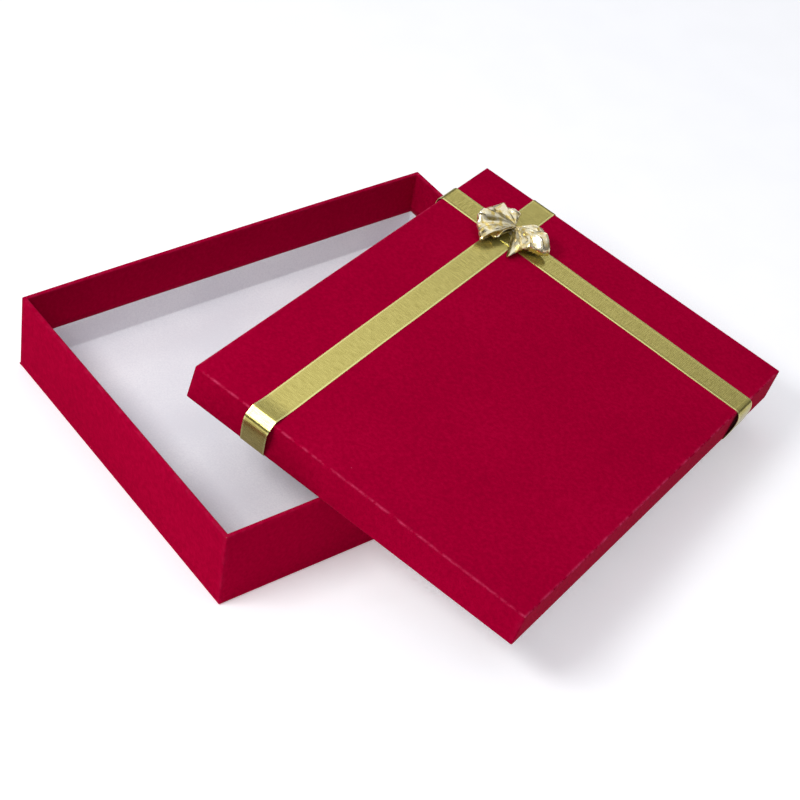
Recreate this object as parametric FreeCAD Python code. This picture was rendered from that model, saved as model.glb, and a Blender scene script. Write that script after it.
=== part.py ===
# Two-piece rigid gift box: an open tray, and a shallow lift-off lid tied with two
# ribbons and a foil bow. The lid lies off the tray, turned and tilted over one of its
# corners. Millimetres, +Z up. The origin is the middle of the tray's underside, +Y runs
# along the tray's long side and +X along its short side.
import FreeCAD, Part
import math
import os

from FreeCAD import Vector

# Tray, outside sizes
tray_length = 300.0
tray_width = 231.0
tray_height = 54.0
tray_board = 2.0
tray_turn_in = 31.0

# Lid
lid_height = 24.5
lid_board = 1.5
lid_turn_in = 16.0
lid_clearance = 0.5

# Papers, the same on both halves
wrap_paper = 0.3
liner_paper = 0.2
stay_paper = 0.15
stay_leg = 20.0

# How the lid lies over the tray's back right corner. The two distances run along the
# rims from that corner to the places where the lid's skirts cross them.
lean_turn = 18.6
lean_along_right_rim = 235.0
lean_along_back_rim = 183.0
lean_gap = 0.2

# Ribbons
ribbon_width = 17.5
ribbon_thickness = 0.5
ribbon_inset = 48.0
ribbon_bend = 2.5
ribbon_hem_bend = 0.8
ribbon_tuck = 12.0
ribbon_ramp = 5.0
ribbon_gap = 0.2

# Bow
bow_turn = -12.0
loop_length = 28.0
loop_height = 15.0
loop_width = 30.0
foil_thickness = 0.4
neck_width = 7.0
neck_radius = 3.0
neck_length = 4.0
glue_radius = 5.0
glue_height = 2.0
bow_gap = 0.1

# Worked out from the sizes above
tray_wall = 2 * wrap_paper + stay_paper + tray_board
lid_wall = 2 * wrap_paper + stay_paper + lid_board
lid_width = tray_width + 2 * (lid_clearance + lid_wall)
lid_length = tray_length + 2 * (lid_clearance + lid_wall)
lid_ceiling = lid_height - wrap_paper - lid_board - liner_paper
long_ribbon_x = ribbon_inset - lid_width / 2
short_ribbon_y = lid_length / 2 - ribbon_inset


def block(x_range, y_range, z_range):
    # A box between two values on each axis.
    size = [high - low for low, high in (x_range, y_range, z_range)]
    return Part.makeBox(*size, Vector(x_range[0], y_range[0], z_range[0]))


def slab(size_x, size_y, z_range):
    # A box centred on the Z axis.
    return block((-size_x / 2, size_x / 2), (-size_y / 2, size_y / 2), z_range)


def ring(size_x, size_y, wall, z_range):
    # A rectangular ring centred on the Z axis.
    hole = slab(size_x - 2 * wall, size_y - 2 * wall, z_range)
    return slab(size_x, size_y, z_range).cut(hole)


def rounded_face(corners):
    # A flat face in the XZ plane. Each corner is (x, z, radius of its rounding).
    count = len(corners)
    starts = []
    ends = []
    middles = []
    for index, (x, z, radius) in enumerate(corners):
        here = Vector(x, 0, z)
        before = Vector(corners[index - 1][0], 0, corners[index - 1][1]) - here
        after_corner = corners[(index + 1) % count]
        after = Vector(after_corner[0], 0, after_corner[1]) - here
        half_angle = before.getAngle(after) / 2
        setback = radius / math.tan(half_angle)
        before.normalize()
        after.normalize()
        bisector = before + after
        bisector.normalize()
        to_arc = radius / math.sin(half_angle) - radius
        starts.append(here + before * setback)
        ends.append(here + after * setback)
        middles.append(here + bisector * to_arc)
    edges = []
    for index, corner in enumerate(corners):
        if corner[2] > 0:
            edges.append(Part.Arc(starts[index], middles[index], ends[index]).toShape())
        following = starts[(index + 1) % count]
        if (following - ends[index]).Length > 1e-6:
            edges.append(Part.LineSegment(ends[index], following).toShape())
    return Part.Face(Part.Wire(edges))


# ---- The two halves of the box, each built with its open side up ----

def half_panel(width, length, board):
    # The closed side: a sheet of wrap outside and the board on it.
    inset = wrap_paper + stay_paper
    sheet = slab(width, length, (0, wrap_paper))
    panel = slab(width - 2 * inset, length - 2 * inset, (wrap_paper, wrap_paper + board))
    return sheet, panel


def half_walls(width, length, height, board):
    # Four straight boards standing on the panel. The long ones run from end to end, and
    # the short ones fit between them.
    edge_x = width / 2 - wrap_paper - stay_paper
    edge_y = length / 2 - wrap_paper - stay_paper
    span_z = (wrap_paper + board, height - wrap_paper)
    between_x = (board - edge_x, edge_x - board)
    along_y = (-edge_y, edge_y)
    return {
        "left": block((-edge_x, board - edge_x), along_y, span_z),
        "right": block((edge_x - board, edge_x), along_y, span_z),
        "front": block(between_x, (-edge_y, board - edge_y), span_z),
        "back": block(between_x, (edge_y - board, edge_y), span_z),
    }


def half_stays(width, length, height):
    # Paper tape folded round the outside of each corner, under the wrap.
    outer_x = width - 2 * wrap_paper
    outer_y = length - 2 * wrap_paper
    span_z = (wrap_paper, height - wrap_paper)
    tape = ring(outer_x, outer_y, stay_paper, span_z)
    stays = []
    for side_x in (-1, 1):
        for side_y in (-1, 1):
            reach_x = sorted((side_x * outer_x / 2, side_x * (outer_x / 2 - stay_leg)))
            reach_y = sorted((side_y * outer_y / 2, side_y * (outer_y / 2 - stay_leg)))
            stays.append(tape.common(block(reach_x, reach_y, span_z)))
    return Part.makeCompound(stays)


def half_wrap(width, length, height, board, turn_in):
    # The paper round the sides, over the rim and down inside as the turn-in.
    wall = 2 * wrap_paper + stay_paper + board
    inner_x = width - 2 * (wall - wrap_paper)
    inner_y = length - 2 * (wall - wrap_paper)
    outside = ring(width, length, wrap_paper, (wrap_paper, height))
    rim = ring(width, length, wall, (height - wrap_paper, height))
    inside = ring(inner_x, inner_y, wrap_paper, (height - turn_in, height))
    return outside.fuse([rim, inside]).removeSplitter()


def tray_nodes():
    # The lower half. Inside, a white liner stands round the walls, up to the turn-in, and
    # another lies on the floor within it.
    sheet, panel = half_panel(tray_width, tray_length, tray_board)
    nodes = {"tray_base_wrap": sheet, "tray_base_board": panel}
    for side, board in half_walls(tray_width, tray_length, tray_height, tray_board).items():
        nodes["tray_wall_" + side] = board
    nodes["tray_corner_stays"] = half_stays(tray_width, tray_length, tray_height)
    nodes["tray_wrap"] = half_wrap(tray_width, tray_length, tray_height, tray_board, tray_turn_in)
    inner_x = tray_width - 2 * (tray_wall - wrap_paper)
    inner_y = tray_length - 2 * (tray_wall - wrap_paper)
    floor = wrap_paper + tray_board
    floor_x = inner_x - 2 * liner_paper
    floor_y = inner_y - 2 * liner_paper
    wall_span = (floor, tray_height - tray_turn_in)
    nodes["tray_wall_liner"] = ring(inner_x, inner_y, liner_paper, wall_span)
    nodes["tray_floor_liner"] = slab(floor_x, floor_y, (floor, floor + liner_paper))
    return nodes


def lid_nodes():
    # The upper half is the same construction turned over, so it is mirrored about its
    # middle height. Its origin is the middle of the plane of the skirts' lower edges.
    sheet, panel = half_panel(lid_width, lid_length, lid_board)
    nodes = {"lid_top_wrap": sheet, "lid_top_board": panel}
    for side, board in half_walls(lid_width, lid_length, lid_height, lid_board).items():
        nodes["lid_skirt_" + side] = board
    nodes["lid_corner_stays"] = half_stays(lid_width, lid_length, lid_height)
    nodes["lid_wrap"] = half_wrap(lid_width, lid_length, lid_height, lid_board, lid_turn_in)
    inner_x = lid_width - 2 * lid_wall
    inner_y = lid_length - 2 * lid_wall
    ceiling = wrap_paper + lid_board
    nodes["lid_liner"] = slab(inner_x, inner_y, (ceiling, ceiling + liner_paper))
    middle = Vector(0, 0, lid_height / 2)
    return {name: shape.mirror(middle, Vector(0, 0, 1)) for name, shape in nodes.items()}


# ---- Ribbons and bow, in the lid's own frame ----

def ribbon_side(half_span, sign):
    # The corners of the band from the top down one skirt, under its rim and up inside.
    # The band leaves the lid's edge level and bends down just clear of the skirt.
    thick = ribbon_thickness
    inner_wall = half_span - lid_wall
    stand = half_span + ribbon_bend
    outer = [
        (stand + thick, lid_height + thick, ribbon_bend + thick),
        (stand + thick, -thick, ribbon_hem_bend + thick),
        (inner_wall - thick, -thick, thick),
        (inner_wall - thick, ribbon_tuck, 0),
    ]
    inner = [
        (inner_wall, ribbon_tuck, 0),
        (inner_wall, 0, 0),
        (stand, 0, ribbon_hem_bend),
        (stand, lid_height, ribbon_bend),
    ]
    return [(sign * x, z, r) for x, z, r in outer], [(sign * x, z, r) for x, z, r in inner]


def ribbon(half_span, crossing):
    # A band along X, centred on Y. Where crossing is a number, the band climbs over
    # another ribbon there.
    outer_right, inner_right = ribbon_side(half_span, 1)
    outer_left, inner_left = ribbon_side(half_span, -1)
    above = []
    below = []
    if crossing is not None:
        half_flat = ribbon_width / 2 + ribbon_gap
        half_foot = half_flat + ribbon_ramp
        lift = ribbon_thickness
        for offset, rise in ((-half_foot, 0), (-half_flat, lift), (half_flat, lift), (half_foot, 0)):
            below.append((crossing + offset, lid_height + rise, 0))
            above.append((crossing + offset, lid_height + rise + ribbon_thickness, 0))
    outline = above + outer_right + inner_right + below[::-1]
    outline += inner_left[::-1] + outer_left[::-1]
    band = rounded_face(outline).extrude(Vector(0, ribbon_width, 0))
    band.translate(Vector(0, -ribbon_width / 2, 0))
    return band


def ribbon_nodes():
    # The long ribbon lies straight on the lid. The short one crosses over it.
    long_ribbon = ribbon(lid_length / 2, None)
    long_ribbon.rotate(Vector(0, 0, 0), Vector(0, 0, 1), 90)
    long_ribbon.translate(Vector(long_ribbon_x, 0, 0))
    short_ribbon = ribbon(lid_width / 2, long_ribbon_x)
    short_ribbon.translate(Vector(0, short_ribbon_y, 0))
    return {"ribbon_long": long_ribbon, "ribbon_short": short_ribbon}


def bow_loop(sign):
    # One loop of foil ribbon along X: a hollow teardrop from the side, and a fan from
    # above, gathered at the neck.
    neck_middle = glue_height + neck_radius
    start = neck_length / 2
    outline = [
        (start, neck_middle - neck_radius / 2, 0),
        (0.8 * loop_length, bow_gap, 2.0),
        (loop_length, 0.45 * loop_height, 4.0),
        (0.7 * loop_length, loop_height, 5.0),
        (start, neck_middle + neck_radius / 2, 0),
    ]
    outer = rounded_face(outline)
    hollow = outer.OuterWire.makeOffset2D(-foil_thickness)
    band = outer.cut(Part.Face(hollow)).extrude(Vector(0, loop_width, 0))
    band.translate(Vector(0, -loop_width / 2, 0))
    fan_points = [
        Vector(start, -neck_width / 2, 0),
        Vector(loop_length, -loop_width / 2, 0),
        Vector(loop_length, loop_width / 2, 0),
        Vector(start, neck_width / 2, 0),
        Vector(start, -neck_width / 2, 0),
    ]
    fan = Part.Face(Part.makePolygon(fan_points)).extrude(Vector(0, 0, loop_height))
    loop = band.common(fan)
    if sign < 0:
        loop.rotate(Vector(0, 0, 0), Vector(0, 0, 1), 180)
    return loop


def bow_nodes():
    # Two loops held by a short neck, which a dot of glue fixes on the ribbons' crossing.
    neck_start = Vector(-neck_length / 2, 0, glue_height + neck_radius)
    nodes = {
        "bow_loop_left": bow_loop(-1),
        "bow_loop_right": bow_loop(1),
        "bow_neck": Part.makeCylinder(neck_radius, neck_length, neck_start, Vector(1, 0, 0)),
        "bow_glue_dot": Part.makeCylinder(glue_radius, glue_height),
    }
    seat = Vector(long_ribbon_x, short_ribbon_y, lid_height + 2 * ribbon_thickness)
    for shape in nodes.values():
        shape.rotate(Vector(0, 0, 0), Vector(0, 0, 1), bow_turn)
        shape.translate(seat)
    return nodes


# ---- Where the lid lies ----

def lid_placement():
    # Three touches hold the lid: the front skirt on the right rim, the left skirt on the
    # back rim, and its ceiling on the tray's corner. All three are at the rim's height, so
    # the tilt comes from how deep the lid is and how far the corner is from the line
    # between the other two.
    rim = tray_height + lean_gap
    corner = Vector(tray_width / 2, tray_length / 2, rim)
    on_right_rim = corner - Vector(0, lean_along_right_rim, 0)
    on_back_rim = corner - Vector(lean_along_back_rim, 0, 0)
    span = math.hypot(lean_along_right_rim, lean_along_back_rim)
    corner_distance = lean_along_right_rim * lean_along_back_rim / span
    slope = lid_ceiling / corner_distance
    normal = Vector(
        slope * lean_along_right_rim / span,
        slope * lean_along_back_rim / span,
        math.sqrt(1 - slope ** 2),
    )
    turn = math.radians(lean_turn)
    heading = Vector(math.cos(turn), math.sin(turn), 0)
    side = heading - normal * heading.dot(normal)
    side.normalize()
    ahead = normal.cross(side)
    reach_side = on_back_rim.dot(side) + lid_width / 2 - lid_wall
    reach_ahead = on_right_rim.dot(ahead) + lid_length / 2 - lid_wall
    origin = side * reach_side + ahead * reach_ahead + normal * on_right_rim.dot(normal)
    matrix = FreeCAD.Matrix(
        side.x, ahead.x, normal.x, origin.x,
        side.y, ahead.y, normal.y, origin.y,
        side.z, ahead.z, normal.z, origin.z,
        0, 0, 0, 1,
    )
    return FreeCAD.Placement(matrix)


def main():
    os.makedirs("parts", exist_ok=True)
    nodes = tray_nodes()
    resting = lid_placement()
    for group in (lid_nodes(), ribbon_nodes(), bow_nodes()):
        for name, shape in group.items():
            shape.Placement = resting.multiply(shape.Placement)
            nodes[name] = shape
    for name, shape in nodes.items():
        shape.exportStep("parts/" + name + ".step")
    print(len(nodes), "nodes written")


main()
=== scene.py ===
import math

import bmesh
import bpy
import numpy as np
from mathutils import Matrix, Vector


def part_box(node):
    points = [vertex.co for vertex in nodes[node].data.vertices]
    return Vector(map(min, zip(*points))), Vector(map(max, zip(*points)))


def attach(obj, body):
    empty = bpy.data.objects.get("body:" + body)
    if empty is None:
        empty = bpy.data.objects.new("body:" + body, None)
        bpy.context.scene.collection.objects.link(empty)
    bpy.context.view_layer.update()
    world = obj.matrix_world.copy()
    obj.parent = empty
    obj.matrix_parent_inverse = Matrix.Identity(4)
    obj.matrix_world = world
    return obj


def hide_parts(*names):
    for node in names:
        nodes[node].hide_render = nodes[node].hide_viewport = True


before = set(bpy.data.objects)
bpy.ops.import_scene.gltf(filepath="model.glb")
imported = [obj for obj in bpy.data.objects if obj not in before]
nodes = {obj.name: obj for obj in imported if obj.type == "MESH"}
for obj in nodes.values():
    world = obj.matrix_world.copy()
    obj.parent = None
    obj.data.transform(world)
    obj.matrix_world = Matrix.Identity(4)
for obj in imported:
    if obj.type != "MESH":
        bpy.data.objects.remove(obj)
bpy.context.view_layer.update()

# Gift box: paper-wrapped tray, leaning lid, two ribbons and a foil bow.
# Shapes are worked out in millimetres, and become metres when they are put into a mesh.
mm = 0.001


# Where things are, read from the frame

def nodePoints(name):
    # every vertex of a CAD node, in millimetres
    mesh = nodes[name].data
    flat = np.empty(len(mesh.vertices) * 3)
    mesh.vertices.foreach_get("co", flat)
    return flat.reshape(-1, 3) / mm


def slabAxes(name):
    # middle of a flat rectangular node, and its short, long and upward directions:
    # the principal axes of its eight corners
    corners = np.unique(nodePoints(name).round(3), axis=0)
    middle = corners.mean(0)
    alongLong, _, up = np.linalg.svd(corners - middle)[2]
    up = up * np.sign(up[2])
    alongLong = alongLong * np.sign(alongLong[1])
    return middle, np.array([np.cross(alongLong, up), alongLong, up])


lidMiddle, lidAxes = slabAxes("lid_top_wrap")
lidLow = ((nodePoints("lid_wrap") - lidMiddle) @ lidAxes.T)[:, 2].min()
lidOrigin = lidMiddle + lidAxes[2] * lidLow     # middle of the plane of the skirts' lower rims


def toLid(points):
    return (points - lidOrigin) @ lidAxes.T


def fromLid(points):
    return points @ lidAxes + lidOrigin


def halfSizes(sides, panel):
    # outside half width and half length, height, wall, and how high the turn-in's edge is
    points = np.vstack([sides, panel])
    halfX, halfY = points[:, 0].max(), points[:, 1].max()
    inner = np.abs(sides[:, 0]).min()
    innermost = sides[np.abs(np.abs(sides[:, 0]) - inner) < 0.01]
    return dict(
        halfX=halfX, halfY=halfY, height=np.ptp(points[:, 2]), wall=halfX - inner,
        innerLow=innermost[:, 2].min(), innerHigh=innermost[:, 2].max(),
    )


traySize = halfSizes(nodePoints("tray_wrap"), nodePoints("tray_base_wrap"))
lidSize = halfSizes(toLid(nodePoints("lid_wrap")), toLid(nodePoints("lid_top_wrap")))
traySize["turnIn"] = traySize["height"] - traySize["innerLow"]
lidSize["turnIn"] = lidSize["innerHigh"]
print("frame read: tray", {k: round(float(v), 2) for k, v in traySize.items()})
print("frame read: lid", {k: round(float(v), 2) for k, v in lidSize.items()})


# Meshes

def makePiece(name, points, faces, material, body, replaced=(), attributes=None, uv=None,
              sharpAngle=40):
    # points in millimetres where the object stands, faces as an array of corners
    mesh = bpy.data.meshes.new(name)
    mesh.from_pydata(points * mm, [], faces.tolist() if hasattr(faces, "tolist") else faces)
    for key, values in (attributes or {}).items():
        layer = mesh.attributes.new(key, "FLOAT", "POINT")
        layer.data.foreach_set("value", np.asarray(values, np.float32).ravel())
    if uv is not None:
        loops = np.empty(len(mesh.loops), np.int32)
        mesh.loops.foreach_get("vertex_index", loops)
        mesh.uv_layers.new(name="across").data.foreach_set("uv", uv[loops].astype(np.float32).ravel())
    tidy = bmesh.new()
    tidy.from_mesh(mesh)
    bmesh.ops.remove_doubles(tidy, verts=tidy.verts, dist=0.005 * mm)
    bmesh.ops.dissolve_degenerate(tidy, edges=tidy.edges, dist=0.002 * mm)
    tidy.to_mesh(mesh)
    tidy.free()
    mesh.polygons.foreach_set("use_smooth", np.ones(len(mesh.polygons), bool))
    mesh.set_sharp_from_angle(angle=math.radians(sharpAngle))
    mesh.materials.append(material)
    piece = bpy.data.objects.new(name, mesh)
    bpy.context.scene.collection.objects.link(piece)
    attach(piece, body)
    if replaced:
        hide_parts(*replaced)
    return piece


def thicken(piece, thickness, even=True):
    # a sheet gets its thickness on the side away from its faces
    solid = piece.modifiers.new("thickness", "SOLIDIFY")
    solid.thickness = thickness * mm
    solid.offset = -1
    solid.use_even_offset = even
    solid.use_quality_normals = even
    return piece


def gridFaces(rows, columns, closed=False, flipped=False):
    # quads of a grid whose rows follow each other; closed joins the last column to the first
    steps = columns if closed else columns - 1
    row, column = np.meshgrid(np.arange(rows - 1), np.arange(steps), indexing="ij")
    following = (column + 1) % columns
    quads = np.stack([
        row * columns + column, (row + 1) * columns + column,
        (row + 1) * columns + following, row * columns + following,
    ], axis=-1).reshape(-1, 4)
    return quads[:, ::-1] if flipped else quads


def capFaces(rows, columns, flipped=False):
    # quads over both ends of a swept section whose second half runs back along its first
    i = np.arange(columns // 2 - 1)
    first = np.stack([i, i + 1, columns - 2 - i, columns - 1 - i], axis=-1)
    both = np.vstack([first, first[:, ::-1] + (rows - 1) * columns])
    return both[:, ::-1] if flipped else both


def loopPattern(acrossSteps, alongSteps, cornerSteps):
    # a rounded rectangle, anticlockwise: at each point the place between the corner
    # centres (-1 to 1) and the outward direction, so that a point of a loop is
    # (half - radius) * place + radius * outward
    angles = np.linspace(0, math.pi / 2, cornerSteps + 1)
    quarterTurn = np.array([[0, -1], [1, 0]])
    crowding = 1.25                     # above 1 sets the points closer together near corners
    places, outwards = [], []
    for turn, steps in zip(range(4), (alongSteps, acrossSteps) * 2):
        turned = np.linalg.matrix_power(quarterTurn, turn)
        run = np.linspace(-1, 1, steps + 1)[1:-1]
        run = np.sign(run) * (1 - (1 - np.abs(run)) ** crowding)
        side = np.stack([np.ones_like(run), run], axis=1)
        corner = np.ones((cornerSteps + 1, 2))
        places += [side @ turned.T, corner @ turned.T]
        outwards += [
            np.tile([1.0, 0.0], (len(run), 1)) @ turned.T,
            np.stack([np.cos(angles), np.sin(angles)], axis=1) @ turned.T,
        ]
    return np.vstack(places), np.vstack(outwards)


def loopSurface(pattern, halfX, halfY, inset, height, radius):
    # one loop for each inset, height and corner radius of a profile
    place, outward = pattern
    inset, height, radius = (np.asarray(a, float)[:, None] for a in (inset, height, radius))
    x = (halfX - inset - radius) * place[:, 0] + radius * outward[:, 0]
    y = (halfY - inset - radius) * place[:, 1] + radius * outward[:, 1]
    return np.stack([x, y, height + 0 * x], axis=-1)


def wobble(values, seed, waves, reach):
    # a smooth uneven line: a few sine waves of random phase
    draw = np.random.default_rng(seed)
    total = np.zeros_like(values)
    for wave in range(1, waves + 1):
        total += draw.normal() / wave ** 0.7 * np.sin(values * wave + draw.uniform(0, 2 * math.pi))
    return reach * total / waves ** 0.5


# Materials

def linear(hexColour):
    # sRGB hex to linear RGBA
    channels = [int(hexColour[i:i + 2], 16) / 255 for i in (1, 3, 5)]
    return [c / 12.92 if c <= 0.04045 else ((c + 0.055) / 1.055) ** 2.4 for c in channels] + [1.0]


def newMaterial(name, **sockets):
    # a Principled material; sockets are its input values, with _ for a space
    material = bpy.data.materials.new(name)
    material.use_nodes = True
    shader = material.node_tree.nodes["Principled BSDF"]
    for socket, value in sockets.items():
        shader.inputs[socket.replace("_", " ")].default_value = value
    return material


def addNode(material, kind, links=None, **settings):
    # adds one node; settings are its properties or the values of its inputs, links go
    # from its inputs to (node, output)
    node = material.node_tree.nodes.new(kind)
    for key, value in settings.items():
        if hasattr(node, key):
            setattr(node, key, value)
        else:
            node.inputs[key.replace("_", " ")].default_value = value
    for key, (source, output) in (links or {}).items():
        material.node_tree.links.new(source.outputs[output], node.inputs[key])
    return node


def toShader(material, socket, source, output):
    shader = material.node_tree.nodes["Principled BSDF"]
    material.node_tree.links.new(source.outputs[output], shader.inputs[socket])


def addRamp(material, source, output, stops):
    # a colour ramp; stops are (place, hex colour)
    ramp = addNode(material, "ShaderNodeValToRGB", {"Fac": (source, output)})
    while len(ramp.color_ramp.elements) < len(stops):
        ramp.color_ramp.elements.new(0.5)
    for element, (place, colour) in zip(ramp.color_ramp.elements, stops):
        element.position = place
        element.color = linear(colour)
    return ramp


def grain(millimetres):
    # noise scale whose features are about this size, for coordinates in metres
    return 1 / (millimetres * mm)


cloudSize = 60      # mm, how far apart a paper's lighter and darker areas are


def wrapPaperMaterial():
    # dyed crimson cover paper, calendered over a fine felt: matt with a slight sheen,
    # mottled pulp, and pinkish along the folds and rims, partly where the dye is rubbed off and partly as a
    # painted highlight on the edges
    look = dict(
        deep="#98002A", main="#A2002D", light="#AC0232", paleWearAndHighlight="#CC3A62",
        pulpSize=2.4, grainSize=0.6, grainHeight=0.07, cloudShare=0.25,
        patchSize=7, speckGap=38, speckSize=(0.3, 0.53), speckShare=0.55,
    )
    material = newMaterial("crimsonCoverPaper", Roughness=0.55, Specular_IOR_Level=0.0,
                           Sheen_Weight=0.05, Sheen_Roughness=0.25)
    place = addNode(material, "ShaderNodeTexCoord")
    pulp = addNode(material, "ShaderNodeTexNoise", {"Vector": (place, "Object")},
                   Scale=grain(look["pulpSize"]), Detail=3.0, Roughness=0.6)
    cloud = addNode(material, "ShaderNodeTexNoise", {"Vector": (place, "Object")},
                    Scale=grain(cloudSize), Detail=2.0)
    both = addNode(material, "ShaderNodeMix", {"A": (pulp, "Fac"), "B": (cloud, "Fac")},
                   Factor=look["cloudShare"])
    colour = addRamp(material, both, "Result",
                     [(0.34, look["deep"]), (0.5, look["main"]), (0.66, look["light"])])
    wearAndHighlight = addNode(material, "ShaderNodeAttribute", attribute_name="wearAndHighlight")
    patch = addNode(material, "ShaderNodeTexNoise", {"Vector": (place, "Object")},
                    Scale=grain(look["patchSize"]), Detail=4.0, Roughness=0.7)
    patchy = addNode(material, "ShaderNodeMapRange", {"Value": (patch, "Fac")},
                     From_Min=0.42, From_Max=0.66)
    wornAndHighlighted = addNode(material, "ShaderNodeMath", {0: (wearAndHighlight, "Fac"), 1: (patchy, "Result")},
                   operation="MULTIPLY")
    cell = addNode(material, "ShaderNodeTexVoronoi", {"Vector": (place, "Object")},
                   Scale=grain(look["speckGap"]))
    speckCore, speckEdge = (size / look["speckGap"] for size in look["speckSize"])
    speck = addNode(material, "ShaderNodeMapRange", {"Value": (cell, "Distance")},
                    From_Min=speckCore, From_Max=speckEdge, To_Min=look["speckShare"], To_Max=0.0)
    pale = addNode(material, "ShaderNodeMath", {0: (wornAndHighlighted, "Value"), 1: (speck, "Result")},
                   operation="MAXIMUM")
    # the pale colour paints rubbed wear and a highlight along the folds and rims, and the specks
    mixed = addNode(material, "ShaderNodeMix",
                    {"Factor": (pale, "Value"), "A": (colour, "Color")}, data_type="RGBA")
    mixed.inputs["B"].default_value = linear(look["paleWearAndHighlight"])
    toShader(material, "Base Color", mixed, "Result")
    fine = addNode(material, "ShaderNodeTexNoise", {"Vector": (place, "Object")},
                   Scale=grain(look["grainSize"]), Detail=2.0)
    bump = addNode(material, "ShaderNodeBump", {"Height": (fine, "Fac")},
                   Strength=0.5, Distance=look["grainHeight"] * mm)
    toShader(material, "Normal", bump, "Normal")
    return material


wrapPaper = wrapPaperMaterial()


def plainPaperMaterial(name, light, dark, roughness, fibre, bumpHeight):
    # uncoated sheet or board: pulp fibres mottle it, lightly or strongly. fibre is the size of
    # the mottling and bumpHeight its relief, in millimetres
    material = newMaterial(name, Roughness=roughness, IOR=1.45)
    place = addNode(material, "ShaderNodeTexCoord")
    pulp = addNode(material, "ShaderNodeTexNoise", {"Vector": (place, "Object")},
                   Scale=grain(fibre), Detail=4.0, Roughness=0.65)
    cloud = addNode(material, "ShaderNodeTexNoise", {"Vector": (place, "Object")},
                    Scale=grain(cloudSize), Detail=1.0)
    both = addNode(material, "ShaderNodeMath", {0: (pulp, "Fac"), 1: (cloud, "Fac")}, operation="MULTIPLY")
    colour = addRamp(material, both, "Value", [(0.16, dark), (0.34, light)])
    toShader(material, "Base Color", colour, "Color")
    bump = addNode(material, "ShaderNodeBump", {"Height": (pulp, "Fac")},
                   Strength=0.4, Distance=bumpHeight * mm)
    toShader(material, "Normal", bump, "Normal")
    return material


# bleached lining paper is a plain matt white, recycled greyboard is dull and flecked, gummed
# kraft tape is warm brown, and hot-melt glue sets creamy and a little shiny
liningPaper = plainPaperMaterial("whiteLiningPaper", "#F2F1F4", "#E6E5EA", 0.7, 1.1, 0.02)
greyboard = plainPaperMaterial("greyboard", "#A79F93", "#7E776D", 0.9, 1.6, 0.06)
kraftTape = plainPaperMaterial("kraftStayTape", "#B99A6C", "#93774E", 0.8, 1.2, 0.03)
hotMelt = plainPaperMaterial("hotMeltGlue", "#E9E2C8", "#D8CFAF", 0.35, 2.5, 0.03)


def ribbonMaterial(width):
    # woven lame ribbon: metallised weft floats over a yellow warp, so it shines like dull
    # metal across and has a lighter, tighter selvedge along each side.
    # The ribs are drawn at 1 mm, about three picks of the real weft to each. Sizes are in
    # millimetres, and streaks is how often a pick's shade changes per mm along and across
    look = dict(
        weft="#C5B96B", weftDark="#A0944A", selvedge="#D2CC84",
        weftPitch=1.05, warpPitch=0.8, weaveShade=0.06, ribHeight=0.025,
        selvedgeWidth=1.1, selvedgeFade=0.35, streaks=(1.1, 0.16, 1.0),
    )
    material = newMaterial("goldLameRibbon", Roughness=0.21, Metallic=0.75)
    place = addNode(material, "ShaderNodeUVMap", uv_map="across")
    split = addNode(material, "ShaderNodeSeparateXYZ", {"Vector": (place, "UV")})
    weft = addNode(material, "ShaderNodeMath", {0: (split, "X")}, operation="MULTIPLY")
    weft.inputs[1].default_value = 2 * math.pi / look["weftPitch"]
    weftWave = addNode(material, "ShaderNodeMath", {0: (weft, "Value")}, operation="SINE")
    warp = addNode(material, "ShaderNodeMath", {0: (split, "Y")}, operation="MULTIPLY")
    warp.inputs[1].default_value = 2 * math.pi / look["warpPitch"]
    warpWave = addNode(material, "ShaderNodeMath", {0: (warp, "Value")}, operation="SINE")
    weave = addNode(material, "ShaderNodeMath", {0: (weftWave, "Value"), 1: (warpWave, "Value")},
                    operation="MULTIPLY_ADD")
    material.node_tree.links.new(weftWave.outputs["Value"], weave.inputs[2])
    stretched = addNode(material, "ShaderNodeVectorMath", {0: (place, "UV")}, operation="MULTIPLY")
    stretched.inputs[1].default_value = look["streaks"]
    streak = addNode(material, "ShaderNodeTexNoise", {"Vector": (stretched, "Vector")},
                     Scale=1.0, Detail=3.0, Roughness=0.6)
    shade = addNode(material, "ShaderNodeMath", {0: (weave, "Value"), 2: (streak, "Fac")},
                    operation="MULTIPLY_ADD")
    shade.inputs[1].default_value = look["weaveShade"]
    colour = addRamp(material, shade, "Value", [(0.25, look["weftDark"]), (0.75, look["weft"])])
    fromMiddle = addNode(material, "ShaderNodeMath", {0: (split, "Y")}, operation="ABSOLUTE")
    selvedgeAt = width / 2 - look["selvedgeWidth"]
    edge = addNode(material, "ShaderNodeMapRange", {"Value": (fromMiddle, "Value")},
                   From_Min=selvedgeAt, From_Max=selvedgeAt + look["selvedgeFade"])
    mixed = addNode(material, "ShaderNodeMix", {"Factor": (edge, "Result"), "A": (colour, "Color")},
                    data_type="RGBA")
    mixed.inputs["B"].default_value = linear(look["selvedge"])
    toShader(material, "Base Color", mixed, "Result")
    bump = addNode(material, "ShaderNodeBump", {"Height": (weave, "Value")},
                   Strength=0.3, Distance=look["ribHeight"] * mm)
    toShader(material, "Normal", bump, "Normal")
    return material


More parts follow.
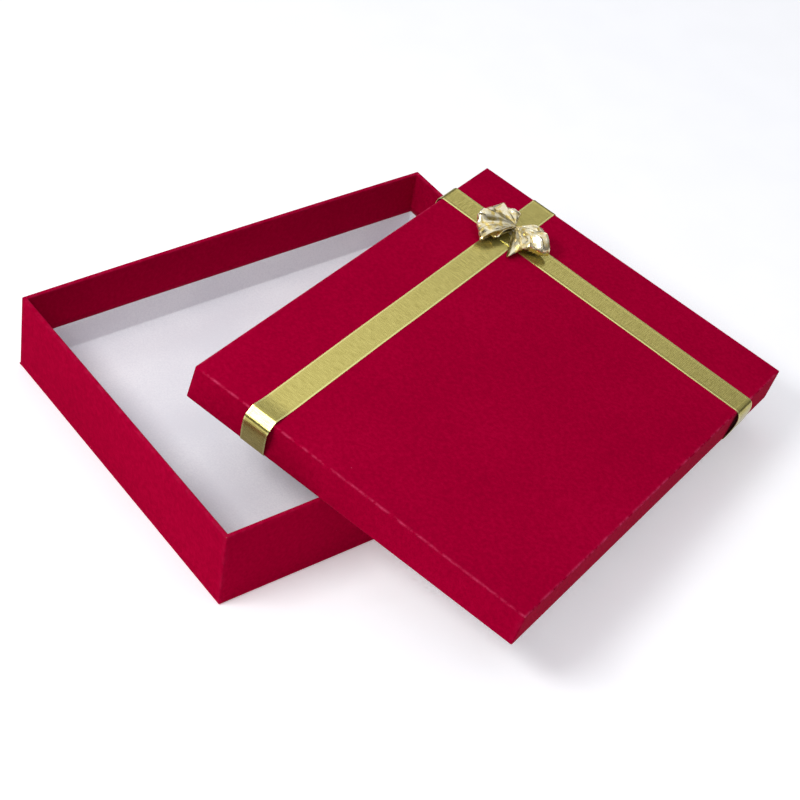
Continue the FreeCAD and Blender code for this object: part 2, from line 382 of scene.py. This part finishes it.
def foilMaterial(name, pale, deep, roughness, metallic):
    # metallised film under pale lacquer: shiny, blotched with deeper gold, and broken up by
    # fine creases
    look = dict(blotchSize=4, creaseSize=2.2, creaseHeight=0.12)
    material = newMaterial(name, Roughness=roughness, Metallic=metallic)
    place = addNode(material, "ShaderNodeTexCoord")
    tint = addNode(material, "ShaderNodeTexNoise", {"Vector": (place, "Object")},
                   Scale=grain(look["blotchSize"]), Detail=3.0)
    colour = addRamp(material, tint, "Fac", [(0.38, deep), (0.54, pale)])
    toShader(material, "Base Color", colour, "Color")
    crease = addNode(material, "ShaderNodeTexNoise", {"Vector": (place, "Object")},
                     Scale=grain(look["creaseSize"]), Detail=2.0)
    bump = addNode(material, "ShaderNodeBump", {"Height": (crease, "Fac")},
                   Strength=0.25, Distance=look["creaseHeight"] * mm)
    toShader(material, "Normal", bump, "Normal")
    return material


# the printed side is bright, and the reverse, seen inside the loops, duller and deeper; its deeper colour
# is partly the reverse's own and partly painted shade inside the loops
foil = foilMaterial("paleGoldFoil", "#FBF0CC", "#E4CA78", 0.19, 0.8)
foilReverseWithPaintedShade = foilMaterial("dullFoilReverseWithPaintedShade", "#BBA766", "#97854A", 0.4, 0.9)
print("materials made")


# Camera and light

def makeCamera():
    # a short telephoto, standing off the tray's front right corner and looking down at it
    settings = dict(place=(0.7816, -0.6539, 0.8990), heading=-47.40, down=41.07, roll=-10.18, lens=97.48)
    heading, down, roll = (math.radians(settings[k]) for k in ("heading", "down", "roll"))
    ahead = np.array([
        math.sin(heading) * math.cos(down), math.cos(heading) * math.cos(down), -math.sin(down),
    ])
    level = np.array([math.cos(heading), -math.sin(heading), 0.0])
    below = np.cross(ahead, level)
    right = math.cos(roll) * level + math.sin(roll) * below
    up = math.sin(roll) * level - math.cos(roll) * below
    data = bpy.data.cameras.new("camera")
    data.sensor_width = 36.0
    data.lens = settings["lens"]
    camera = bpy.data.objects.new("camera", data)
    bpy.context.scene.collection.objects.link(camera)
    matrix = Matrix.Identity(4)
    for row in range(3):
        matrix[row][0], matrix[row][1], matrix[row][2] = right[row], up[row], -ahead[row]
        matrix[row][3] = settings["place"][row]
    camera.matrix_world = matrix
    bpy.context.scene.camera = camera


def makeLight(name, place, target, size, power):
    data = bpy.data.lights.new(name, "AREA")
    data.shape = "RECTANGLE"
    data.size, data.size_y = size
    data.energy = power
    light = bpy.data.objects.new(name, data)
    bpy.context.scene.collection.objects.link(light)
    light.location = place
    light.rotation_euler = (Vector(target) - Vector(place)).to_track_quat("-Z", "Y").to_euler()


def makeStudio():
    # a white tent: bright overhead and dim at the horizon, with one soft key in front, where
    # the ribbon's sprung end mirrors it, and a dim panel behind and a weak one at the right
    # for the ribbon and foil to reflect. A light is its place and size in metres, and its
    # radiance. The floor glows a little, and lies just under the tray
    settings = dict(
        floor="#F7F7F8", floorMottle="#F5F5F6", floorGlow=0.27, floorReach=6, floorLevel=-0.0003,
        horizon="#43454C", zenith="#ECEEF4", aim=(0.06, 0.03, 0.03),
        key=((-0.05, -0.76, 0.895), (0.5, 0.3), 14.0),
        panel=((-0.95, 1.35, 1.8), (1.2, 1.0), 0.9),
        glint=((0.85, 0.45, 1.3), (0.45, 0.45), 0.5),
    )
    world = bpy.data.worlds.new("surround")
    bpy.context.scene.world = world
    world.use_nodes = True
    direction = addNode(world, "ShaderNodeTexCoord")
    split = addNode(world, "ShaderNodeSeparateXYZ", {"Vector": (direction, "Generated")})
    sky = addRamp(world, split, "Z", [(0.3, settings["horizon"]), (0.88, settings["zenith"])])
    background = world.node_tree.nodes["Background"]
    world.node_tree.links.new(sky.outputs["Color"], background.inputs["Color"])
    for name in ("key", "panel", "glint"):
        place, size, radiance = settings[name]
        makeLight(name, place, settings["aim"], size, radiance * math.pi * size[0] * size[1])
    material = plainPaperMaterial("paleFloor", settings["floor"], settings["floorMottle"], 0.8, 30, 0.01)
    shader = material.node_tree.nodes["Principled BSDF"]
    shader.inputs["Emission Color"].default_value = linear(settings["floor"])
    shader.inputs["Emission Strength"].default_value = settings["floorGlow"]
    mesh = bpy.data.meshes.new("floor")
    reach, level = settings["floorReach"], settings["floorLevel"]
    corners = [(x * reach, y * reach, level) for x, y in ((-1, -1), (1, -1), (1, 1), (-1, 1))]
    mesh.from_pydata(corners, [], [(0, 1, 2, 3)])
    mesh.materials.append(material)
    floor = bpy.data.objects.new("floor", mesh)
    bpy.context.scene.collection.objects.link(floor)
    bpy.context.scene.view_settings.view_transform = "Standard"


makeCamera()
makeStudio()
print("camera and studio made")


# The wrapped halves of the box

panelMargin = 5.0       # mm from the box's side to where a panel's loops give way to a plain grid


def panelGrid(pattern, halfX, halfY, level):
    # the middle of a panel: a grid on the same stations as the loop that it meets
    stations = [np.unique(pattern[0][:, axis].round(9)) for axis in (0, 1)]
    x, y = np.meshgrid(
        (halfX - panelMargin) * stations[0], (halfY - panelMargin) * stations[1], indexing="ij")
    points = np.stack([x, y, level + 0 * x], axis=-1)
    return points.reshape(-1, 3), gridFaces(*x.shape)


def wrapProfile(size, edgeRadius, rimRadius):
    # closed side uppermost: inset from the outer wall, height and corner radius of each
    # loop, from the panel, round its edge, down the wall, round the rim and up inside
    # to the turn-in's cut edge; and how far each loop is from a fold
    height, wall = size["height"], size["wall"]
    panelInset = np.array([panelMargin, 3.2, 2.4, 1.8, 1.4])
    turn = np.linspace(0, math.pi / 2, 7)
    wallHeight = height - edgeRadius - np.array([0.3, 0.8, 1.6, 3, 5, 8])
    lower = np.linspace(wallHeight[-1], 6, 8)[1:]
    rimTop = np.array([4, 2.6, 1.6, rimRadius + 0.3])
    outerTurn = np.linspace(0, math.pi / 2, 5)
    innerTurn = np.linspace(math.pi / 2, math.pi, 5)
    inside = np.concatenate([[rimRadius + 0.3, 1.6, 3, 5], np.linspace(8, size["turnIn"], 6)])
    inset = np.concatenate([
        panelInset, edgeRadius * (1 - np.sin(turn)), 0 * wallHeight, 0 * lower, 0 * rimTop,
        rimRadius * (1 - np.cos(outerTurn)), wall - rimRadius * (1 + np.cos(innerTurn)), wall + 0 * inside,
    ])
    level = np.concatenate([
        height + 0 * panelInset, height - edgeRadius * (1 - np.cos(turn)), wallHeight, lower, rimTop,
        rimRadius * (1 - np.sin(outerTurn)), rimRadius * (1 - np.sin(innerTurn)), inside,
    ])
    radius = np.where(level > height - edgeRadius, edgeRadius - inset, edgeRadius).clip(0, edgeRadius)
    radius = np.where(inset > edgeRadius, 0, radius)
    pastRim = np.arange(len(inset)) >= len(inset) - len(outerTurn) - len(innerTurn) - len(inside)
    leastRadius = 0.35
    radius = np.where(pastRim, np.maximum(edgeRadius - inset, leastRadius), radius)
    foldAt = edgeRadius * 0.3
    fold = np.hypot(inset - foldAt, level - height + foldAt)
    rimFold = np.hypot(inset - wall / 2, level) - wall / 2
    return inset, level, radius, fold, rimFold


def makeWrap(name, size, settings, pattern, toPlace, flipped, body, replaced):
    # one sheet: the profile's loops, then the panel's grid. The pale mark, partly wear and partly painted
    # highlight, is a bell curve round the edge and round the rim, and a little of it runs down the corners
    inset, level, radius, fold, rimFold = wrapProfile(size, settings["edgeRadius"], settings["rimRadius"])
    points = loopSurface(pattern, size["halfX"], size["halfY"], inset, level, radius)
    rows, columns = points.shape[:2]
    around = np.linspace(0, 2 * math.pi, columns, endpoint=False)
    points[-1, :, 2] += wobble(around, settings["seed"], settings["cutWaves"], settings["cutUnevenness"])
    cornerNear = np.abs(pattern[0]).min(1)
    # round the edge and the rim the pale mark paints a highlight as well as wear
    edgeWearAndHighlight = np.exp(-(fold / settings["wearAndHighlightWidth"]) ** 2)[:, None]
    rimFold = np.clip(rimFold, 0, None)
    rimWearAndHighlight = settings["rimWearAndHighlight"] * np.exp(-(rimFold / settings["rimWearAndHighlightWidth"]) ** 2)[:, None]
    outsideWall = ((inset < 0.01) & (level < size["height"]))[:, None]
    cornerWear = settings["cornerWear"] * outsideWall * (cornerNear > 0.9999)[None, :]
    wearAndHighlight = np.maximum(np.maximum(edgeWearAndHighlight, rimWearAndHighlight), cornerWear)
    faces = gridFaces(rows, columns, True)
    middle, middleFaces = panelGrid(pattern, size["halfX"], size["halfY"], size["height"])
    flat = np.vstack([points.reshape(-1, 3), middle])
    wearAndHighlight = np.concatenate([wearAndHighlight.ravel(), np.zeros(len(middle))])
    faces = np.vstack([faces, middleFaces + rows * columns])
    piece = makePiece(name, toPlace(flat), faces[:, ::-1] if flipped else faces, wrapPaper, body,
                      replaced, attributes={"wearAndHighlight": wearAndHighlight})
    thicken(piece, settings["paper"])


# the left long wall bulges out along its rim; tip is the folded paper's corner at its foot.
# Millimetres, apart from power and lean
bulge = dict(depth=0.9, power=1.3, within=8, fade=3)
tip = dict(reach=1.7, width=1.6, height=1.1, lean=0.2)


def bulgeTray(points):
    # outward bulge of the left wall: a parabola along Y that fades towards the base
    points = points.copy()
    nearWall = np.clip((-points[:, 0] - traySize["halfX"] + bulge["within"]) / bulge["fade"], 0, 1)
    along = 1 - (points[:, 1] / traySize["halfY"]) ** 2
    rise = (points[:, 2] / traySize["height"]).clip(0, 1) ** bulge["power"]
    points[:, 0] -= bulge["depth"] * nearWall * along * rise
    return points


def fromTray(points):
    # right way up, with the tip standing out at the foot of one corner as a bell curve
    turned = points * [1, 1, -1] + [0, 0, traySize["height"]]
    fromCorner = np.hypot(turned[:, 0] + traySize["halfX"], turned[:, 1] + traySize["halfY"])
    out = tip["reach"] * np.exp(-(fromCorner / tip["width"]) ** 2 - (turned[:, 2] / tip["height"]) ** 2)
    turned[:, 0] -= out
    turned[:, 1] -= tip["lean"] * out
    return bulgeTray(turned)


def makeTray():
    settings = dict(
        paper=0.3, edgeRadius=0.95, rimRadius=0.9, wearAndHighlightWidth=0.9, rimWearAndHighlight=0.15, rimWearAndHighlightWidth=0.5,
        cornerWear=0.12, cutUnevenness=0.35, cutWaves=24, seed=11,
    )
    pattern = loopPattern(40, 52, 5)
    makeWrap("trayWrap", traySize, settings, pattern, fromTray, True, "tray",
             ["tray_wrap", "tray_base_wrap"])


def makeTrayLining():
    # white paper on the floor, turned up against the walls, and round the lower half of the
    # walls: loops up the walls, and a grid on the floor
    settings = dict(bend=1.0, cornerRadius=0.4, overrun=0.4)
    floorHigh, wallHigh = (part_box(name)[1] for name in ("tray_floor_liner", "tray_wall_liner"))
    halfX, halfY = wallHigh.x / mm, wallHigh.y / mm
    sheet = (wallHigh.x - floorHigh.x) / mm
    base, top = floorHigh.z / mm, wallHigh.z / mm
    pattern = loopPattern(40, 52, 4)
    bend, overrun = settings["bend"], settings["overrun"]
    turn = np.linspace(0, math.pi / 2, 6)
    panel = np.array([panelMargin - sheet, 2.6, 1.9, 1.5])
    inset = sheet + np.concatenate([panel, bend * (1 - np.sin(turn)), np.zeros(8)])
    rise = np.concatenate([
        0 * panel, bend * (1 - np.cos(turn)), np.linspace(bend + overrun, top - base + overrun, 8),
    ])
    radius = np.where(rise > 0, settings["cornerRadius"], 0.0)
    points = loopSurface(pattern, halfX, halfY, inset, rise + base, radius)
    rows, columns = points.shape[:2]
    middle, middleFaces = panelGrid(pattern, halfX, halfY, base)
    flat = np.vstack([points.reshape(-1, 3), middle])
    faces = np.vstack([gridFaces(rows, columns, True), middleFaces + rows * columns])
    piece = makePiece("trayLining", bulgeTray(flat), faces, liningPaper, "tray",
                      ["tray_floor_liner", "tray_wall_liner"])
    thicken(piece, sheet)


def softenBoard(piece):
    # greyboard's edges are crushed round where the paper is pulled over them
    piece.modifiers.new("weld", "WELD").merge_threshold = 0.01 * mm
    crushed = piece.modifiers.new("crushed", "BEVEL")
    crushed.width = 0.85 * mm
    crushed.segments = 3
    crushed.limit_method = "ANGLE"


def makeBulgedBoard():
    # the left wall's board follows the bulge: its section is carried along Y
    low, high = (np.array(corner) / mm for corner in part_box("tray_wall_left"))
    stations = np.linspace(low[1], high[1], 25)
    heights = np.linspace(low[2], high[2], 7)
    section = np.array([(low[0], z) for z in heights] + [(high[0], z) for z in heights[::-1]])
    points = np.stack([
        np.tile(section[:, 0], (len(stations), 1)), np.repeat(stations[:, None], len(section), 1),
        np.tile(section[:, 1], (len(stations), 1)),
    ], axis=-1)
    rows, columns = points.shape[:2]
    faces = np.vstack([gridFaces(rows, columns, True), capFaces(rows, columns)])
    piece = makePiece("trayLeftBoard", bulgeTray(points.reshape(-1, 3)), faces, greyboard, "tray",
                      ["tray_wall_left"])
    softenBoard(piece)


def makeLid():
    settings = dict(
        paper=0.3, edgeRadius=0.9, rimRadius=0.75, wearAndHighlightWidth=0.7, rimWearAndHighlight=0.15, rimWearAndHighlightWidth=0.5,
        cornerWear=0.12, cutUnevenness=0.3, cutWaves=24, seed=5,
    )
    pattern = loopPattern(40, 52, 5)
    makeWrap("lidWrap", lidSize, settings, pattern, fromLid, False, "lid", ["lid_wrap", "lid_top_wrap"])


makeTray()
makeTrayLining()
makeBulgedBoard()
makeLid()
print("wrapped halves made")


# Ribbons

# millimetres: tucked length, the cloth's own thickness, how much its selvedges stand up and
# its cut edges go down, its clearance from the paper, and the rise over the other ribbon with
# its reach and softness. selvedgeFrom and cutFrom are shares of the half width
ribbon = dict(
    tuck=12.0, body=0.25, selvedge=0.08, selvedgeFrom=0.82, cutDrop=0.1, cutFrom=0.99, clear=0.02,
    lift=0.36, liftReach=2.0, liftSoftness=0.8, drift=0.12, driftLength=40, steps=16,
)
ribbonBox = [toLid(nodePoints(name)) for name in ("ribbon_long", "ribbon_short")]
ribbonWidth = np.ptp(ribbonBox[0][:, 0])
ribbonThick = ribbonBox[0][:, 2].max() - lidSize["height"]


def bezier(start, first, second, end, steps):
    # a cubic curve from start to end, drawn towards first and then second
    t = np.linspace(0, 1, steps)[:, None]
    return ((1 - t) ** 3 * start + 3 * (1 - t) ** 2 * t * first
            + 3 * (1 - t) * t ** 2 * second + t ** 3 * end)


crispFrom, easyFrom = 18.0, 2.5     # mm from the lid's edge to where each kind of end starts


def ribbonEnd(halfSpan, crisp):
    # over the lid's edge, springing out and down, round the rim and up inside: cubic curves
    # and a straight run, in distance along the lid and height. A crisp end is creased at the
    # edge after rising towards it, and runs straight before it turns down; the other kind
    # turns in one easy bend
    top, wall = lidSize["height"], lidSize["wall"]
    p = lambda out, level: np.array([halfSpan + out, level])
    if crisp:
        fold, springEnd = p(-1.7, top + 1.42), p(2.65, top - 2.5)
        crease = bezier(p(-crispFrom, top), p(-12.0, top + 0.1), p(-4.0, top + 1.3), fold, 14)
        spring = bezier(fold, p(-0.25, top + 0.11), p(1.2, top - 1.19), springEnd, 9)
        turn = bezier(springEnd, p(5.0, top - 4.8), p(3.4, top - 11.0), p(0.5, 1.2), 26)
        over = np.vstack([crease, spring[1:], turn[1:]])
    else:
        bendEnd = p(1.1, top - 0.95)
        crease = bezier(p(-easyFrom, top), p(-0.6, top + 0.15), p(0.3, top - 0.1), bendEnd, 12)
        turn = bezier(bendEnd, p(3.5, top - 3.6), p(3.5, top - 9.5), p(0.5, 1.2), 28)
        over = np.vstack([crease, turn[1:]])
    hem = bezier(p(0.5, 1.2), p(0.2, -0.9), p(-wall - 0.5, -1.1), p(-wall - 0.15, 1.2), 12)
    inside = np.stack([np.full(5, halfSpan - wall - 0.15), np.linspace(1.2, ribbon["tuck"], 5)], axis=1)
    return np.vstack([over, hem[1:], inside[1:]])


def ribbonPath(halfSpan, crossing, crispStart):
    # whole path from one tuck to the other; over the other ribbon it is lifted, with an
    # S-shaped (logistic) rise at each side of it
    start = ribbonEnd(halfSpan, crispStart)[::-1] * [-1, 1]
    end = ribbonEnd(halfSpan, False)
    middle = np.linspace(-halfSpan + easyFrom, halfSpan - easyFrom, 120)[1:-1]
    if crispStart:
        middle = middle[middle > crispFrom + 0.5 - halfSpan]
    height = np.full(len(middle), lidSize["height"])
    if crossing is not None:
        beyond = np.abs(middle - crossing) - ribbonWidth / 2 - ribbon["liftReach"]
        over = 1 / (1 + np.exp(beyond / ribbon["liftSoftness"]))
        height = height + ribbon["lift"] * over
    return np.vstack([start, np.stack([middle, height], axis=1), end])


def makeRibbon(name, node, halfSpan, alongY, middleAt, ends, crossing, seed):
    # a flat section carried along the path, square to it: its upper side stands off by the
    # cloth's thickness and the selvedges. ends shifts the two ends sideways, in millimetres
    path = ribbonPath(halfSpan, crossing, alongY)
    step = np.gradient(path, axis=0)
    step /= np.linalg.norm(step, axis=1)[:, None]
    outward = np.stack([-step[:, 1], step[:, 0]], axis=1)
    length = np.concatenate([[0], np.cumsum(np.linalg.norm(np.diff(path, axis=0), axis=1))])
    across = np.linspace(-1, 1, ribbon["steps"])
    across = np.sign(across) * np.abs(across) ** 0.8
    rise = (ribbon["body"] + ribbon["selvedge"] * (np.abs(across) > ribbon["selvedgeFrom"])
            - ribbon["cutDrop"] * (np.abs(across) > ribbon["cutFrom"]))
    under = np.full(len(across), ribbon["clear"])
    section = np.concatenate([np.stack([across, rise], 1), np.stack([across[::-1], under], 1)])
    sideways = section[:, 0] * ribbonWidth / 2
    share = path[:, 0] / halfSpan / 2 + 0.5
    drift = wobble(length / ribbon["driftLength"], seed, 3, ribbon["drift"])
    centre = middleAt + ends[0] * (1 - share) + ends[1] * share + drift
    along = path[:, :1] + outward[:, :1] * section[:, 1]
    up = path[:, 1:] + outward[:, 1:] * section[:, 1]
    lateral = centre[:, None] + sideways
    points = np.stack([lateral, along, up] if alongY else [along, lateral, up], axis=-1)
    rows, columns = points.shape[:2]
    uv = np.stack([np.repeat(length[:, None], columns, 1), np.tile(sideways, (rows, 1))], axis=-1)
    faces = np.vstack([gridFaces(rows, columns, True, not alongY), capFaces(rows, columns, alongY)])
    piece = makePiece(name, fromLid(points.reshape(-1, 3)), faces, ribbonCloth, "lid", [node],
                      uv=uv.reshape(-1, 2))
    print(name, "cut length", round(float(length[-1]), 1), "mm")


ribbonCloth = ribbonMaterial(float(ribbonWidth))
longMiddle = (ribbonBox[0][:, 0].max() + ribbonBox[0][:, 0].min()) / 2
shortMiddle = (ribbonBox[1][:, 1].max() + ribbonBox[1][:, 1].min()) / 2
makeRibbon("ribbonLong", "ribbon_long", lidSize["halfY"], True, longMiddle, (1.8, 0.05), None, 3)
makeRibbon("ribbonShort", "ribbon_short", lidSize["halfX"], False, shortMiddle, (2.5, -2.0),
           longMiddle, 8)
print("ribbons made")


# Bow

# where the ribbons cross, on top of both, in millimetres from the lid's origin
seat = np.array([longMiddle, shortMiddle, lidSize["height"] + 2 * ribbonThick])


def splineThrough(controls, count):
    # Catmull-Rom curves through the control points of every ray at once
    last = controls.shape[1] - 1
    position = np.linspace(0, last, count)
    index = np.minimum(position.astype(int), last - 1)
    t = (position - index)[:, None]
    before, here, after, beyond = (controls[:, np.clip(index + k, 0, last)] for k in (-1, 0, 1, 2))
    return 0.5 * (2 * here + (after - before) * t + (2 * before - 5 * here + 4 * after - beyond) * t ** 2
                  + (3 * here - before - 3 * after + beyond) * t ** 3)


# millimetres: where the crests and the turns below meet, how far the gathers are spread there
# each way, how much a crest swells on its way out, the depth of the larger and the smaller
# creases, the foil's least height over the ribbons and its thickness
bowLook = dict(
    pinch=(2.2, 4.6, 7.0), under=(1.4, 3.2, 3.2), gather=(0.5, -0.9, 0.0), swell=(0, 0, 0.7),
    crumple=0.5, creasing=0.22, clear=0.3, foil=0.15,
)


def lattice(draw, rows, columns, shape):
    # random offsets on a coarse lattice, carried over the sheet bilinearly
    knots = draw.normal(0, 1, (rows, columns, 3))
    u, v = np.linspace(0, rows - 1, shape[0]), np.linspace(0, columns - 1, shape[1])
    iu, iv = np.minimum(u.astype(int), rows - 2), np.minimum(v.astype(int), columns - 2)
    fu, fv = (u - iu)[:, None, None], (v - iv)[None, :, None]
    return ((knots[iu][:, iv] * (1 - fu) + knots[iu + 1][:, iv] * fu) * (1 - fv)
            + (knots[iu][:, iv + 1] * (1 - fu) + knots[iu + 1][:, iv + 1] * fu) * fv)


def makeLoop(name, node, rays, seed):
    # a loop of wide foil gathered at the pinch. Each ray is a fold of the foil, ridge or
    # valley, given by its crest, its outermost point and its turn below
    rays = np.array(rays, float)
    count = len(rays)
    draw = np.random.default_rng(seed)
    gather = np.linspace(-1, 1, count)[:, None] * bowLook["gather"]
    top, low = bowLook["pinch"] + gather, bowLook["under"] + gather
    start = top + (rays[:, 0] - top) * 0.5 + bowLook["swell"]
    back = low + (rays[:, 2] - low) * 0.5
    lines = splineThrough(np.stack([top, start, rays[:, 0], rays[:, 1], rays[:, 2], back, low], axis=1), 37)
    spread = np.linspace(0, count - 1, (count - 1) * 4 + 1)
    index = np.minimum(spread.astype(int), count - 2)
    share = (spread - index)[:, None, None]
    points = lines[index] * (1 - share) + lines[index + 1] * share
    fade = np.sin(np.linspace(0, math.pi, points.shape[1]))[None, :, None]
    creases = ((count * 2, 10, bowLook["crumple"]), (count * 3, 16, bowLook["creasing"]))
    for rows, columns, reach in creases:
        points = points + reach * fade * lattice(draw, rows, columns, points.shape)
    points[..., 2] = np.maximum(points[..., 2], bowLook["clear"])
    rows, columns = points.shape[:2]
    edge = [np.linalg.norm(np.diff(points, axis=axis), axis=-1) for axis in (0, 1)]
    width, length = edge[0].sum(0).max(), edge[1].sum(1).mean()
    faces = gridFaces(rows, columns, False, True)
    piece = makePiece(name, fromLid(points.reshape(-1, 3) + seat), faces, foil, "lid", [node],
                      sharpAngle=18)
    # the inner side gets the reverse, whose deeper colour partly paints the shade inside the loops
    piece.data.materials.append(foilReverseWithPaintedShade)
    thicken(piece, bowLook["foil"], False).modifiers["thickness"].material_offset = 1
    print(name, "foil about", round(width, 1), "by", round(length, 1), "mm")


# crest, outermost point and turn below, in millimetres from the ribbons' crossing
leftRays = [
    [(-1.6, 15.6, 8.0), (-4.6, 19.0, 4.6), (-3.5, 12.0, 1.4)],
    [(-5.4, 13.6, 10.6), (-8.4, 17.6, 6.0), (-5.0, 10.5, 1.0)],
    [(-9.8, 10.8, 10.4), (-12.8, 13.6, 6.4), (-7.5, 8.0, 0.7)],
    [(-12.4, 7.6, 13.6), (-15.4, 9.0, 7.6), (-9.0, 5.5, 0.7)],
    [(-13.6, 1.4, 11.4), (-17.6, 2.4, 7.4), (-10.5, 1.5, 0.7)],
    [(-17.4, -7.6, 13.8), (-19.0, -5.6, 8.4), (-11.5, -4.0, 0.7)],
    [(-16.6, -11.8, 12.4), (-18.4, -11.6, 7.0), (-11.0, -8.0, 0.7)],
    [(-12.2, -13.0, 8.4), (-15.2, -15.4, 5.6), (-10.0, -11.0, 0.7)],
    [(-8.4, -15.4, 8.6), (-10.4, -20.4, 4.4), (-8.0, -14.0, 0.7)],
    [(-3.4, -14.0, 7.0), (-6.8, -22.6, 1.3), (-5.4, -14.0, 0.7)],
    [(-5.2, -8.6, 3.2), (-5.8, -11.6, 2.0), (-4.8, -8.6, 0.8)],
    [(-1.0, -10.6, 3.6), (-2.0, -13.4, 1.8), (-2.0, -9.4, 0.5)],
]
rightRays = [
    [(9.4, -8.6, 6.6), (14.1, -19.5, 1.3), (9.0, -10.5, 0.7)],
    [(12.6, -8.0, 9.4), (16.6, -13.6, 4.4), (10.5, -9.0, 0.7)],
    [(14.0, -5.8, 6.8), (17.6, -9.0, 5.6), (12.0, -5.0, 0.9)],
    [(16.8, -2.6, 10.8), (20.0, -6.4, 7.6), (17.6, -2.6, 1.0)],
    [(18.2, 0.4, 8.6), (23.0, -3.4, 6.2), (21.6, -1.2, 0.6)],
    [(22.2, 2.6, 12.6), (27.8, -0.6, 6.4), (25.0, 1.2, 0.6)],
    [(22.8, 7.0, 13.4), (30.6, 4.4, 4.6), (26.0, 5.0, 0.6)],
    [(17.8, 8.4, 10.0), (25.6, 10.0, 5.0), (15.0, 7.0, 0.9)],
    [(14.4, 11.0, 12.4), (18.6, 13.4, 8.0), (12.0, 8.5, 1.4)],
]
makeLoop("bowLoopLeft", "bow_loop_left", leftRays, 21)
makeLoop("bowLoopRight", "bow_loop_right", rightRays, 34)


def makeNeck():
    # the gathered middle, pinched by a turn of the same foil: a parabola along the run,
    # times waves round it for the folds, flattened a little
    settings = dict(place=(1.8, 4.0, 5.0), halfRun=2.2, radius=1.4, flare=0.4, flatness=0.9)
    steps, rings = 28, 9
    turn = np.linspace(0, 2 * math.pi, steps, endpoint=False)
    run = np.linspace(-1, 1, rings)[:, None]
    folds = 1 + 0.12 * np.sin(5 * turn + 0.7) + 0.06 * np.sin(9 * turn)
    radius = (settings["radius"] + settings["flare"] * run ** 2) * folds
    x = np.repeat(run * settings["halfRun"], steps, 1)
    y, z = radius * np.cos(turn), settings["flatness"] * radius * np.sin(turn)
    points = np.stack([x, y, z], axis=-1) + settings["place"]
    faces = gridFaces(rings, steps, True, True).tolist()
    faces.append(list(range(steps)))
    faces.append([(rings - 1) * steps + i for i in range(steps)][::-1])
    makePiece("bowNeck", fromLid(points.reshape(-1, 3) + seat), faces, foil, "lid",
              ["bow_neck"])


def makeGlue():
    # a flattened dot of glue: a low dome, as high as the root of one less a power of the
    # distance from its middle, with an uneven rim; it starts sunk into the ribbons
    settings = dict(place=(1.8, 5.0), radius=2.4, dome=2.0, sunk=0.36, power=2.4)
    rings, steps = 8, 32
    turn = np.linspace(0, 2 * math.pi, steps, endpoint=False)
    share = np.linspace(0.001, 1, rings)[:, None]
    rim = 1 + 0.08 * np.sin(3 * turn + 1) + 0.05 * np.sin(5 * turn)
    radius = settings["radius"] * share * rim
    height = settings["dome"] * np.sqrt(np.clip(1 - share ** settings["power"], 0, 1)) - settings["sunk"]
    x, y = settings["place"][0] + radius * np.cos(turn), settings["place"][1] + radius * np.sin(turn)
    points = np.stack([x, y, height + 0 * radius], axis=-1)
    faces = gridFaces(rings, steps, True).tolist()
    faces.append([(rings - 1) * steps + i for i in range(steps)][::-1])
    makePiece("bowGlue", fromLid(points.reshape(-1, 3) + seat), faces, hotMelt, "lid",
              ["bow_glue_dot"])


makeNeck()
makeGlue()
print("bow made")


# The CAD nodes that stay are greyboard, kraft tape or white paper

for name, node in nodes.items():
    if node.hide_render:
        continue
    finish = kraftTape if "stays" in name else liningPaper if "liner" in name else greyboard
    node.data.materials.clear()
    node.data.materials.append(finish)
    if finish is greyboard:
        softenBoard(node)
print("CAD nodes finished")
